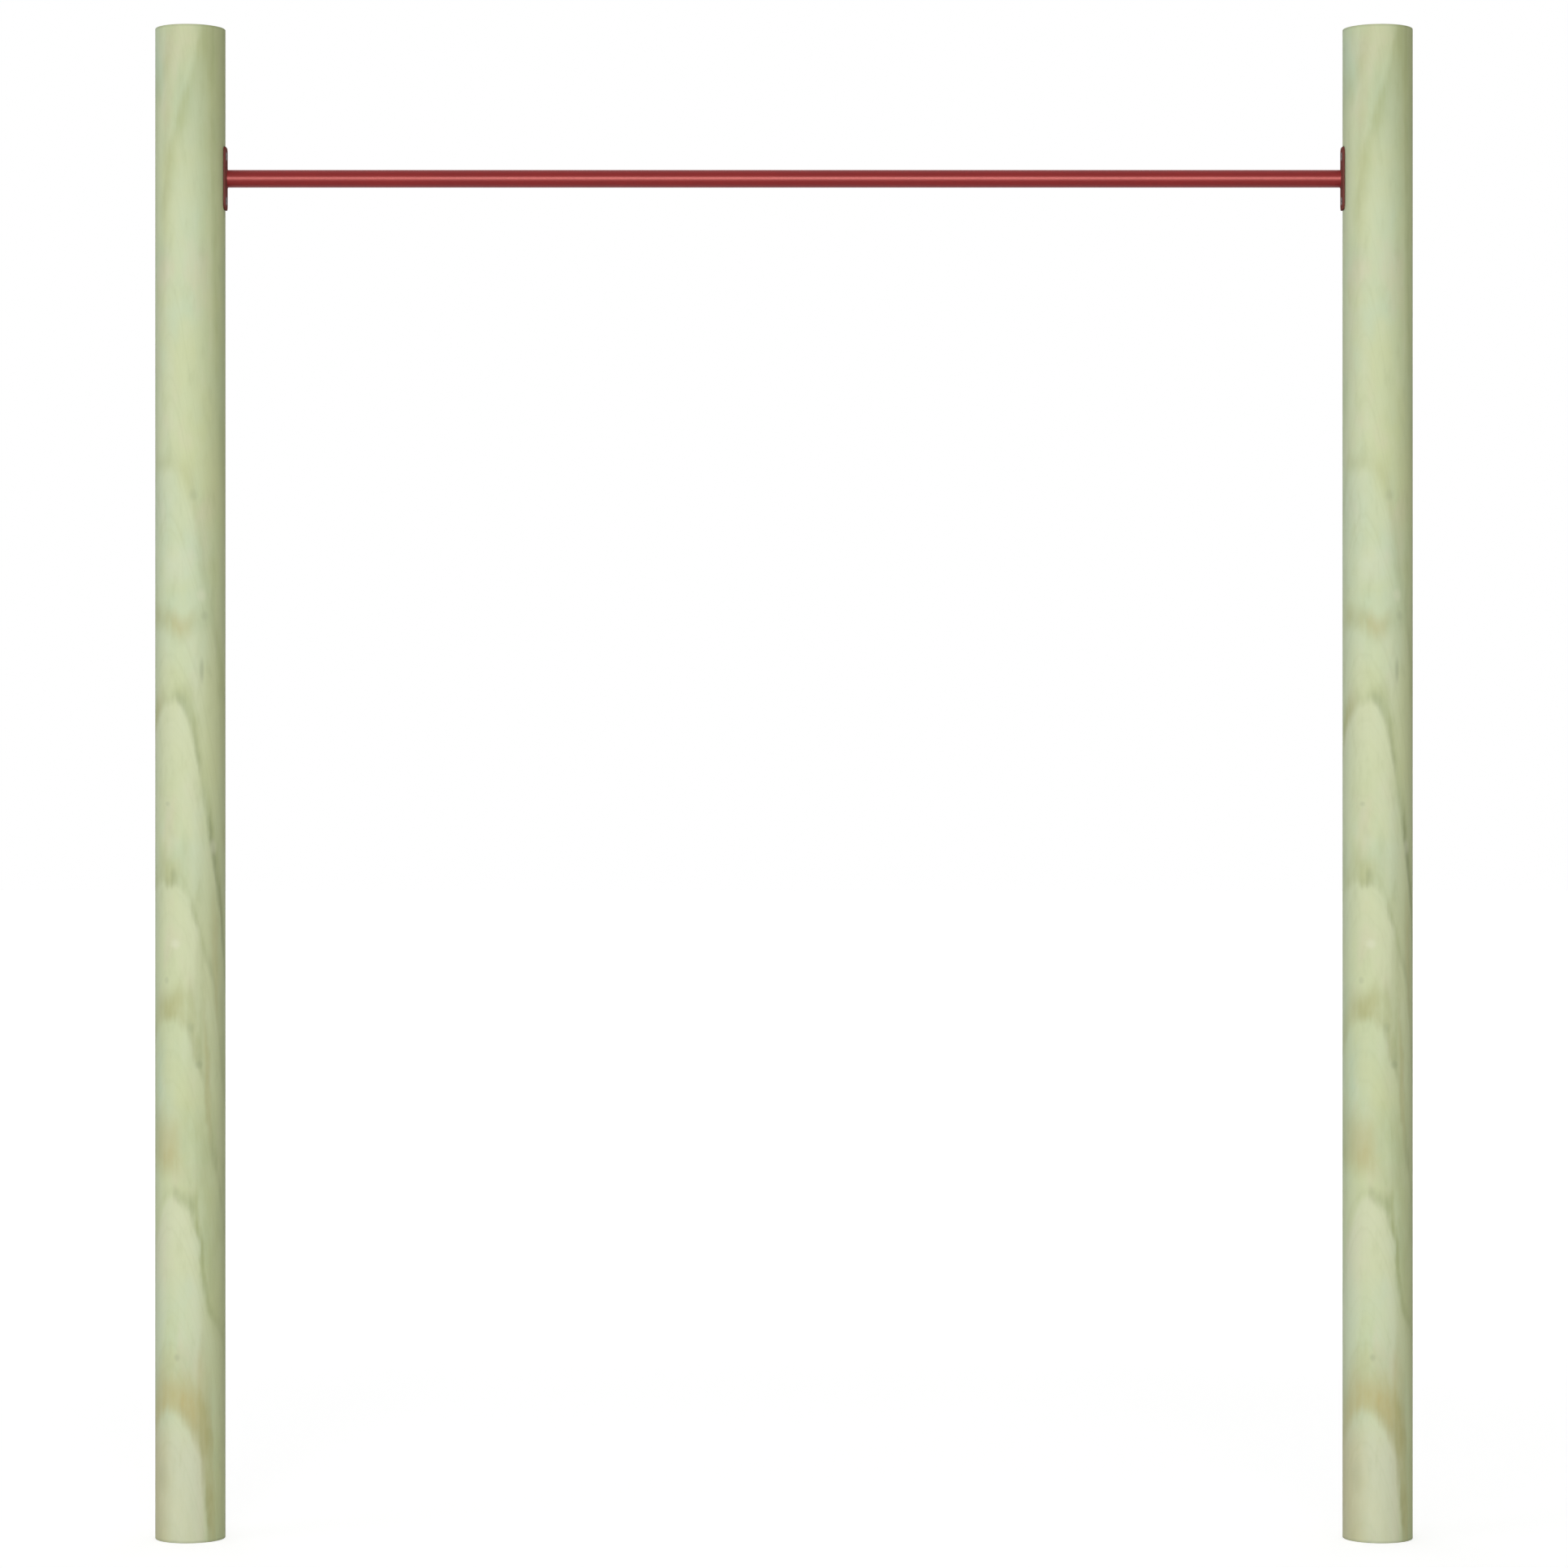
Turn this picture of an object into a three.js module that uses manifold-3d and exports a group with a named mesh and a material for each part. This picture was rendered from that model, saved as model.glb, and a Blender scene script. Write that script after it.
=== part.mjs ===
// Gymnastics turning bar for a garden: a painted steel tube between two flanges, screwed to two round
// pressure-treated pine posts. The posts' lower ends go into the ground.
// Sizes are in millimetres and +Z is up. The origin lies midway between the posts, level with their
// feet. +X runs along the bar to the right-hand post and +Y points away from someone facing it.

import * as THREE from "three";
import { mergeVertices } from "three/addons/utils/BufferGeometryUtils.js";
import Module from "manifold-3d";

// Posts
const POST_DIAMETER = 100;
const POST_LENGTH = 2160;
const POST_CHAMFER = 1;

// Bar
const CLEAR_SPAN = 1600; // between the facing sides of the two posts
const BAR_BELOW_TOP = 214; // from the tops of the posts down to the bar's axis
const TUBE_DIAMETER = 25;
const TUBE_WALL = 2.5;

// Flanges: a plate centred on the bar, with a weld bead on its face round the end of the tube
const PLATE_SIDE_MARGIN = 0.5; // plate left beside the bead
const PLATE_HEIGHT = 90;
const PLATE_THICKNESS = 3;
const PLATE_CORNER_RADIUS = 8;
const PLATE_EDGE_CHAMFER = 0.4;
const SCREW_END_DISTANCE = 13; // from each end of the plate in to a screw's axis
const WELD_LEG = 2;
const WELD_TOE = 0.3; // blunt edge that the bead keeps on the plate and on the tube
const WELD_CROWN = 0.25; // how far the bead's face bulges past a straight fillet

// Flat seats milled in the posts for the plates
const SEAT_DEPTH = 1.5; // into the round of the post, which leaves a flat narrower than the plate
const SEAT_END_MARGIN = 1;

// Countersunk wood screws
const SCREW_LENGTH = 80;
const SCREW_HEAD_DIAMETER = 12;
const SCREW_HEAD_LAND = 0.3; // straight rim above the head's cone
const SCREW_SHANK_DIAMETER = 4.3;
const SCREW_CORE_DIAMETER = 3.9;
const SCREW_POINT_LENGTH = 7;
const SCREW_POINT_DIAMETER = 0.7;
const THREAD_DIAMETER = 6;
const THREAD_LENGTH = 48;
const THREAD_PITCH = 4.5;
const THREAD_FOOT = 1.4; // width of the ridge where it leaves the core
const DRIVE_ACROSS_LOBES = 5.6;
const DRIVE_ACROSS_FLUTES = 4;
const DRIVE_DEPTH = 2.4;

// Clearances
const FIT_GAP = 0.3; // between any two pieces that bear on each other or fit together
const PILOT_OVERDEPTH = 2; // pilot hole past the screw's point
const CUT_OVERRUN = 5; // how far a cutting solid passes the face that it opens

// Facets
const POST_SIDES = 96;
const TUBE_SIDES = 48;
const HOLE_SIDES = 24;
const SCREW_SIDES = 20;
const THREAD_STEPS_PER_TURN = 10;
const CORNER_STEPS = 6;
const DRIVE_LOBES = 6;
const DRIVE_STEPS_PER_LOBE = 6;
const MERGE_DISTANCE = 1e-4;

// Places and sizes worked out from those above
const postRadius = POST_DIAMETER / 2;
const postOffset = CLEAR_SPAN / 2 + postRadius;
const barHeight = POST_LENGTH - BAR_BELOW_TOP;
const tubeRadius = TUBE_DIAMETER / 2;
const plateHalfWidth = tubeRadius + WELD_LEG + PLATE_SIDE_MARGIN;
const plateHalfHeight = PLATE_HEIGHT / 2;
const screwOffset = plateHalfHeight - SCREW_END_DISTANCE;

// Distances from a post's axis towards the bar
const seatAt = postRadius - SEAT_DEPTH;
const plateBackAt = seatAt + FIT_GAP;
const plateFaceAt = plateBackAt + PLATE_THICKNESS;
const tubeEndAt = plateFaceAt + FIT_GAP;
const tubeLength = 2 * (postOffset - tubeEndAt);

const headRadius = SCREW_HEAD_DIAMETER / 2;
const shankRadius = SCREW_SHANK_DIAMETER / 2;
const coreRadius = SCREW_CORE_DIAMETER / 2;
const pointRadius = SCREW_POINT_DIAMETER / 2;
const threadRadius = THREAD_DIAMETER / 2;

const wasm = await Module();
wasm.setup();

// Solids and geometries

function solidOf(geometry) {
  const bare = geometry.clone();
  bare.deleteAttribute("normal");
  bare.deleteAttribute("uv");
  const merged = mergeVertices(bare, MERGE_DISTANCE);
  return new wasm.Manifold(
    new wasm.Mesh({
      numProp: 3,
      vertProperties: merged.attributes.position.array,
      triVerts: new Uint32Array(merged.index.array),
    }),
  );
}

function geometryOf(solid) {
  const mesh = solid.getMesh();
  const geometry = new THREE.BufferGeometry();
  geometry.setAttribute("position", new THREE.BufferAttribute(mesh.vertProperties, mesh.numProp));
  geometry.setIndex(new THREE.BufferAttribute(mesh.triVerts, 1));
  geometry.computeVertexNormals();
  return geometry;
}

function cut(solid, cutters) {
  return cutters.reduce((left, cutter) => left.subtract(solidOf(cutter)), solid);
}

// A shape turned about the Z axis from [radius, height] points that run up its outside.
function turned(profile, sides) {
  const points = profile.map(([radius, height]) => new THREE.Vector2(radius, height));
  return new THREE.LatheGeometry(points, sides).rotateX(Math.PI / 2);
}

// Screws, with the head's top at z = 0 and the point below

// The core's radius at a depth below the head's top: it tapers over the point.
function coreRadiusAt(depth) {
  const share = THREE.MathUtils.clamp((SCREW_LENGTH - depth) / SCREW_POINT_LENGTH, 0, 1);
  return pointRadius + (coreRadius - pointRadius) * share;
}

// The thread, one ridge of triangular section wound round the core and closed at both ends.
function threadGeometry() {
  const crestShare = threadRadius / coreRadius;
  const sunkShare = 0.8;
  const turns = (THREAD_LENGTH - THREAD_FOOT) / THREAD_PITCH;
  const steps = Math.floor(turns * THREAD_STEPS_PER_TURN);
  const start = SCREW_LENGTH - THREAD_LENGTH + THREAD_FOOT / 2;
  const positions = [];
  for (let step = 0; step <= steps; step += 1) {
    const turn = step / THREAD_STEPS_PER_TURN;
    const angle = turn * 2 * Math.PI;
    const depth = start + turn * THREAD_PITCH;
    const core = coreRadiusAt(depth);
    const section = [
      [core * sunkShare, THREAD_FOOT / 2 - depth],
      [core * sunkShare, -THREAD_FOOT / 2 - depth],
      [core * crestShare, -depth],
    ];
    for (const [radius, height] of section) {
      positions.push(radius * Math.cos(angle), radius * Math.sin(angle), height);
    }
  }
  const last = 3 * steps;
  const triangles = [0, 1, 2, last, last + 2, last + 1];
  for (let step = 0; step < steps; step += 1) {
    for (let corner = 0; corner < 3; corner += 1) {
      const here = 3 * step + corner;
      const next = 3 * step + ((corner + 1) % 3);
      triangles.push(here, here + 3, next, next, here + 3, next + 3);
    }
  }
  const geometry = new THREE.BufferGeometry();
  geometry.setAttribute("position", new THREE.Float32BufferAttribute(positions, 3));
  geometry.setIndex(triangles);
  return geometry;
}

// The six-lobed drive socket in the head.
function driveCutter() {
  const middle = (DRIVE_ACROSS_LOBES + DRIVE_ACROSS_FLUTES) / 4;
  const wave = (DRIVE_ACROSS_LOBES - DRIVE_ACROSS_FLUTES) / 4;
  const count = DRIVE_LOBES * DRIVE_STEPS_PER_LOBE;
  const outline = Array.from({ length: count }, (_, index) => {
    const angle = (index / count) * 2 * Math.PI;
    const radius = middle + wave * Math.cos(DRIVE_LOBES * angle);
    return new THREE.Vector2(radius * Math.cos(angle), radius * Math.sin(angle));
  });
  const socket = new THREE.ExtrudeGeometry(new THREE.Shape(outline), {
    depth: DRIVE_DEPTH + CUT_OVERRUN,
    bevelEnabled: false,
  });
  return socket.translate(0, 0, -DRIVE_DEPTH);
}

function screwGeometry() {
  const coneBottom = SCREW_HEAD_LAND + headRadius - shankRadius;
  const threadStart = SCREW_LENGTH - THREAD_LENGTH;
  const profile = [
    [0, -SCREW_LENGTH],
    [pointRadius, -SCREW_LENGTH],
    [coreRadius, SCREW_POINT_LENGTH - SCREW_LENGTH],
    [coreRadius, -threadStart],
    [shankRadius, -threadStart],
    [shankRadius, -coneBottom],
    [headRadius, -SCREW_HEAD_LAND],
    [headRadius, 0],
    [0, 0],
  ];
  const body = solidOf(turned(profile, SCREW_SIDES)).add(solidOf(threadGeometry()));
  return geometryOf(cut(body, [driveCutter()]));
}

// The space that a screw takes with its clearance, in the screw's own frame: a countersink that
// leads into a pilot hole with the drill's cone at its bottom.
function screwPocket() {
  const pilotRadius = threadRadius + FIT_GAP;
  const mouthRadius = headRadius + FIT_GAP;
  const countersinkTop = SCREW_HEAD_LAND + FIT_GAP;
  const pilotBottom = SCREW_LENGTH + PILOT_OVERDEPTH;
  const profile = [
    [0, -pilotBottom - pilotRadius / 2],
    [pilotRadius, -pilotBottom],
    [pilotRadius, pilotRadius - mouthRadius - countersinkTop],
    [mouthRadius, -countersinkTop],
    [mouthRadius, CUT_OVERRUN],
    [0, CUT_OVERRUN],
  ];
  return turned(profile, HOLE_SIDES);
}

// Posts, about their own axis, with the bar's side towards +X

// The wood that the cutter takes away to leave the flat for a plate.
function seatCutter() {
  const depth = SEAT_DEPTH + CUT_OVERRUN;
  const height = PLATE_HEIGHT + 2 * SEAT_END_MARGIN;
  const block = new THREE.BoxGeometry(depth, POST_DIAMETER, height);
  return block.translate(seatAt + depth / 2, 0, barHeight);
}

function pilotCutter(height) {
  return screwPocket().rotateY(Math.PI / 2).translate(plateFaceAt, 0, height);
}

function postGeometry() {
  const profile = [
    [0, 0],
    [postRadius - POST_CHAMFER, 0],
    [postRadius, POST_CHAMFER],
    [postRadius, POST_LENGTH - POST_CHAMFER],
    [postRadius - POST_CHAMFER, POST_LENGTH],
    [0, POST_LENGTH],
  ];
  const cutters = [
    seatCutter(),
    pilotCutter(barHeight + screwOffset),
    pilotCutter(barHeight - screwOffset),
  ];
  return geometryOf(cut(solidOf(turned(profile, POST_SIDES)), cutters));
}

// Flanges, drawn flat with the plate's back at z = 0, its face towards +Z and its length along Y

function plateBlank() {
  const radius = PLATE_CORNER_RADIUS - PLATE_EDGE_CHAMFER;
  const x = plateHalfWidth - PLATE_CORNER_RADIUS;
  const y = plateHalfHeight - PLATE_CORNER_RADIUS;
  const outline = new THREE.Shape();
  outline.absarc(x, y, radius, 0, Math.PI / 2);
  outline.absarc(-x, y, radius, Math.PI / 2, Math.PI);
  outline.absarc(-x, -y, radius, Math.PI, 1.5 * Math.PI);
  outline.absarc(x, -y, radius, 1.5 * Math.PI, 2 * Math.PI);
  outline.closePath();
  const plate = new THREE.ExtrudeGeometry(outline, {
    depth: PLATE_THICKNESS - 2 * PLATE_EDGE_CHAMFER,
    bevelEnabled: true,
    bevelThickness: PLATE_EDGE_CHAMFER,
    bevelSize: PLATE_EDGE_CHAMFER,
    bevelSegments: 1,
    curveSegments: CORNER_STEPS,
  });
  return plate.translate(0, 0, PLATE_EDGE_CHAMFER);
}

// The bead is rooted halfway into the plate and narrows up the tube.
function weldBead() {
  const inside = tubeRadius + FIT_GAP;
  const outside = tubeRadius + WELD_LEG;
  const root = PLATE_THICKNESS / 2;
  const top = PLATE_THICKNESS + WELD_LEG;
  const middle = (WELD_LEG + WELD_TOE) / 2 + WELD_CROWN;
  const profile = [
    [inside, root],
    [outside, root],
    [outside, PLATE_THICKNESS + WELD_TOE],
    [tubeRadius + middle, PLATE_THICKNESS + middle],
    [inside + WELD_TOE, top],
    [inside, top],
    [inside, root],
  ];
  return turned(profile, TUBE_SIDES);
}

function flangeGeometry() {
  const cutters = [
    screwPocket().translate(0, screwOffset, PLATE_THICKNESS),
    screwPocket().translate(0, -screwOffset, PLATE_THICKNESS),
  ];
  return geometryOf(cut(solidOf(plateBlank()).add(solidOf(weldBead())), cutters));
}

// Bar

function tubeGeometry() {
  const boreRadius = tubeRadius - TUBE_WALL;
  const end = tubeLength / 2;
  const profile = [
    [boreRadius, -end],
    [tubeRadius, -end],
    [tubeRadius, end],
    [boreRadius, end],
    [boreRadius, -end],
  ];
  return turned(profile, TUBE_SIDES);
}

// Finishes

const treatedPine = new THREE.MeshStandardMaterial({ color: 0xc7cea8, roughness: 0.75, metalness: 0 });
const redPaint = new THREE.MeshStandardMaterial({ color: 0x9a2c2e, roughness: 0.35, metalness: 0 });
const dullRedPaint = new THREE.MeshStandardMaterial({ color: 0x742422, roughness: 0.55, metalness: 0 });
const blackZinc = new THREE.MeshStandardMaterial({ color: 0x46464a, roughness: 0.45, metalness: 1 });

// Assembly

function piece(name, geometry, material) {
  const mesh = new THREE.Mesh(geometry, material);
  mesh.name = name;
  return mesh;
}

const post = postGeometry();
const flange = flangeGeometry();
const screw = screwGeometry();

// A post with all that is fixed to it, about the post's own axis, with the bar's side towards +X.
function postAssembly(side) {
  const group = new THREE.Group();
  group.add(piece(`${side}_post`, post, treatedPine));

  const plate = piece(`${side}_flange`, flange, dullRedPaint);
  plate.rotation.set(Math.PI / 2, Math.PI / 2, 0);
  plate.position.set(plateBackAt, 0, barHeight);
  group.add(plate);

  for (const [place, offset] of [["upper", screwOffset], ["lower", -screwOffset]]) {
    const fixing = piece(`${side}_${place}_screw`, screw, blackZinc);
    fixing.rotation.y = Math.PI / 2;
    fixing.position.set(plateFaceAt, 0, barHeight + offset);
    group.add(fixing);
  }
  return group;
}

const turningBar = new THREE.Group();

const leftEnd = postAssembly("left");
leftEnd.position.x = -postOffset;
turningBar.add(leftEnd);

const rightEnd = postAssembly("right");
rightEnd.position.x = postOffset;
rightEnd.rotation.z = Math.PI;
turningBar.add(rightEnd);

const bar = piece("bar_tube", tubeGeometry(), redPaint);
bar.rotation.y = Math.PI / 2;
bar.position.z = barHeight;
turningBar.add(bar);

export default turningBar;
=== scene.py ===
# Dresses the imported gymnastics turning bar: two round pressure-treated pine posts, a red
# coated steel bar between them, its welded flanges and their countersunk screws.
# Lengths are in metres and +Z is up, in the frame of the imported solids. Bearings round a post are
# in degrees from its front, the side that faces the camera, and grow towards +X.

from math import cos, pi, radians, sin

import bpy
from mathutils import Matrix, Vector


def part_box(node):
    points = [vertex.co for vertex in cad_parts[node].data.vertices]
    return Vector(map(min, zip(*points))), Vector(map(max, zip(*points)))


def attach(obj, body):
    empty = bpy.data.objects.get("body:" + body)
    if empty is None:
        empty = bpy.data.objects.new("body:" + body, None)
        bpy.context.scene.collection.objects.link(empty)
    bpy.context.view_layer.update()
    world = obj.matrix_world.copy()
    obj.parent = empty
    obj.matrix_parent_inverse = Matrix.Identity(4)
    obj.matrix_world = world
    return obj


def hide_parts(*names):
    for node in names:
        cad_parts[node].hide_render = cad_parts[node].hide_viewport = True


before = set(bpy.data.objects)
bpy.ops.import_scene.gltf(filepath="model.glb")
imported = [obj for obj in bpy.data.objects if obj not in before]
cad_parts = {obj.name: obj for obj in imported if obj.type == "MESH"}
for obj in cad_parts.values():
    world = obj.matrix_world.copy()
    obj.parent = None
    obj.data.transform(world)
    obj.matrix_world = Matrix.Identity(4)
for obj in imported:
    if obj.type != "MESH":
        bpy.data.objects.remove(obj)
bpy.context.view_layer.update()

MM = 0.001

# Sizes read from the solids
post_low, post_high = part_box("left_post")
plate_low, plate_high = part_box("left_flange")
tube_low, tube_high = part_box("bar_tube")
screw_low, screw_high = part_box("left_upper_screw")

POST_LENGTH = post_high.z - post_low.z
POST_RADIUS = (post_high.y - post_low.y) / 2
POST_OFFSET = -post_low.x - POST_RADIUS  # from the middle of the bar to a post's axis
BAR_HEIGHT = (tube_low.z + tube_high.z) / 2
TUBE_RADIUS = (tube_high.z - tube_low.z) / 2
TUBE_LENGTH = tube_high.x - tube_low.x
PLATE_HALF_WIDTH = (plate_high.y - plate_low.y) / 2
PLATE_HALF_HEIGHT = (plate_high.z - plate_low.z) / 2
PLATE_BACK = plate_low.x + POST_OFFSET  # from the post's axis
SCREW_OFFSET = (screw_low.z + screw_high.z) / 2 - BAR_HEIGHT
SCREW_LENGTH = screw_high.x - screw_low.x
HEAD_RADIUS = (screw_high.y - screw_low.y) / 2

# Other sizes that the solids have
PLATE_THICKNESS = 3 * MM
PLATE_CORNER = 8 * MM
TUBE_WALL = 2.5 * MM
FIT_GAP = 0.3 * MM
SEAT_END_MARGIN = 1 * MM
WELD_LEG = 2 * MM
HEAD_LAND = 0.3 * MM
SHANK_RADIUS = 2.15 * MM
CORE_RADIUS = 1.95 * MM
THREAD_RADIUS = 3 * MM
THREAD_LENGTH = 48 * MM
THREAD_PITCH = 4.5 * MM
POINT_LENGTH = 7 * MM
POINT_RADIUS = 0.35 * MM
DRIVE_LOBE_RADIUS = 2.8 * MM
DRIVE_FLUTE_RADIUS = 2 * MM
DRIVE_DEPTH = 2.4 * MM
PILOT_OVERDEPTH = 2 * MM
CUT_OVERRUN = 5 * MM  # how far a cutting shape passes the face that it opens

SEAT_REACH = PLATE_BACK - FIT_GAP
PLATE_FACE = PLATE_BACK + PLATE_THICKNESS

# Mesh making
MERGE_DISTANCE = 1e-6
SHARP_ANGLE = radians(32)
FLAT_END = 0.9  # how level a face's normal is on a sawn end

# Camera, level with the middle of the posts as in the photograph. The lens is in millimetres.
CAMERA_DISTANCE = 6.63
CAMERA_HEIGHT = 1.0794
CAMERA_LENS = 106.3

# Lamps: a wide far one, a gloss lamp in the same place for the line of light along the bar, a
# near one and one on the left. Each has its place, width, height, power and tint, whether it
# lights matt surfaces and whether glossy ones mirror it.
LAMPS = {
    "far_lamp": ((0.3, -25, 2.0), 9.2, 4.0, 2970, (1, 1, 0.94), True, True),
    "gloss_lamp": ((0.3, -25, 2.0), 9.2, 4.0, 2700, (1, 1, 1), False, True),
    "near_lamp": ((-0.45, -3.6, 1.2), 1.6, 2.0, 25, (1, 1, 1), True, False),
    "left_lamp": ((-33.4, -21.6, 5.0), 16, 8, 3300, (0.98, 0.99, 1.07), True, True),
}
LAMP_AIM = Vector((0, 0, 1.08))

# A plain surround, and fills for the back and the top. The back has two, at this bearing to
# either side, and FILL_SPREAD is how wide each fill looks, in degrees.
SURROUND_LEVEL = 0.02
SURROUND_TINT = (1, 1, 0.86, 1)
BACK_FILL = 1.5
BACK_FILL_BEARING = 155
TOP_FILL = 1.4
FILL_SPREAD = 55

# The floor's own glow near the posts, where their shadows show, and beyond, where it meets the
# backdrop. It rises from NEAR_FLOOR to FAR_FLOOR, in metres from the middle of the floor.
FLOOR_GLOW = 0.68
FAR_FLOOR_GLOW = 0.80
NEAR_FLOOR, FAR_FLOOR = 1.5, 5
FLOOR_PAINT = (0.5, 0.5, 0.5, 1)
FLOOR_HALF_WIDTH = 40
WHITE = (1, 1, 1, 1)


# Node wiring


def operator_pair(operation):
    def forward(self, other):
        return self.board.maths(operation, self, other)

    def reflected(self, other):
        return self.board.maths(operation, other, self)

    return forward, reflected


class Wire:
    """A number that a socket carries. Arithmetic on it adds Math nodes to its tree."""

    __add__, __radd__ = operator_pair("ADD")
    __sub__, __rsub__ = operator_pair("SUBTRACT")
    __mul__, __rmul__ = operator_pair("MULTIPLY")
    __truediv__, __rtruediv__ = operator_pair("DIVIDE")
    __pow__, __rpow__ = operator_pair("POWER")
    __gt__, __lt__ = operator_pair("GREATER_THAN")

    def __init__(self, board, socket):
        self.board = board
        self.socket = socket

    def __neg__(self):
        return self * -1

    def other(self, name):
        """Another output of the same node."""
        return Wire(self.board, self.socket.node.outputs[name])


class Board:
    """A node tree and the ways of adding to it."""

    def __init__(self, tree):
        self.tree = tree
        tree.nodes.clear()

    def add(self, kind, settings=None, sockets=None, out=0):
        """A node of that kind with its settings made first, then its sockets set or linked."""
        node = self.tree.nodes.new(kind)
        for name, value in (settings or {}).items():
            if name == "items":
                for _ in range(value - len(node.index_switch_items)):
                    node.index_switch_items.new()
            elif name == "curves":
                self.draw(node.mapping, value)
            else:
                setattr(node, name, value)
        for name, value in (sockets or {}).items():
            for source in value if isinstance(value, list) else [value]:
                if isinstance(source, Wire):
                    self.tree.links.new(source.socket, node.inputs[name])
                else:
                    node.inputs[name].default_value = source
        return Wire(self, node.outputs[out]) if node.outputs else None

    def draw(self, mapping, curves):
        """Gives a curve node its curves, each a row of (across, up) points between 0 and 1."""
        for curve, points in zip(mapping.curves, curves):
            for across, up in points[1:-1]:
                curve.points.new(across, up)
            for point, (across, up) in zip(curve.points, points):
                point.location = (across, up)
                point.handle_type = "AUTO_CLAMPED"
        mapping.update()

    def maths(self, operation, *values):
        return self.add("ShaderNodeMath", {"operation": operation}, dict(enumerate(values)))

    def rise(self, value, start, end):
        """0 before start and 1 after end, with a smooth climb between them."""
        sockets = {"Value": value, "From Min": start, "From Max": end}
        return self.add("ShaderNodeMapRange", {"interpolation_type": "SMOOTHSTEP"}, sockets)

    def vector(self, x, y, z):
        return self.add("ShaderNodeCombineXYZ", {}, {"X": x, "Y": y, "Z": z})

    def parts(self, vector):
        x = self.add("ShaderNodeSeparateXYZ", {}, {"Vector": vector})
        return x, x.other("Y"), x.other("Z")

    def channels(self, colour):
        red = self.add("ShaderNodeSeparateColor", {}, {"Color": colour})
        return red, red.other("Green"), red.other("Blue")

    def noise(self, point, detail=2.0, roughness=0.5):
        """Smooth noise about 0, between -1 and 1, at a point whose unit is one blotch."""
        sockets = {"Vector": point, "Scale": 1.0, "Detail": detail, "Roughness": roughness}
        return self.add("ShaderNodeTexNoise", {}, sockets) * 2 - 1

    def blend(self, first, second, share):
        """The first colour, or the second where the share is 1."""
        sockets = {0: share, 6: first, 7: second}
        return self.add("ShaderNodeMix", {"data_type": "RGBA"}, sockets, out=2)

    def place(self):
        return self.add("ShaderNodeTexCoord", out="Object")

    def bump(self, height, strength, distance):
        sockets = {"Strength": strength, "Distance": distance, "Height": height}
        return self.add("ShaderNodeBump", {}, sockets)


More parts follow.
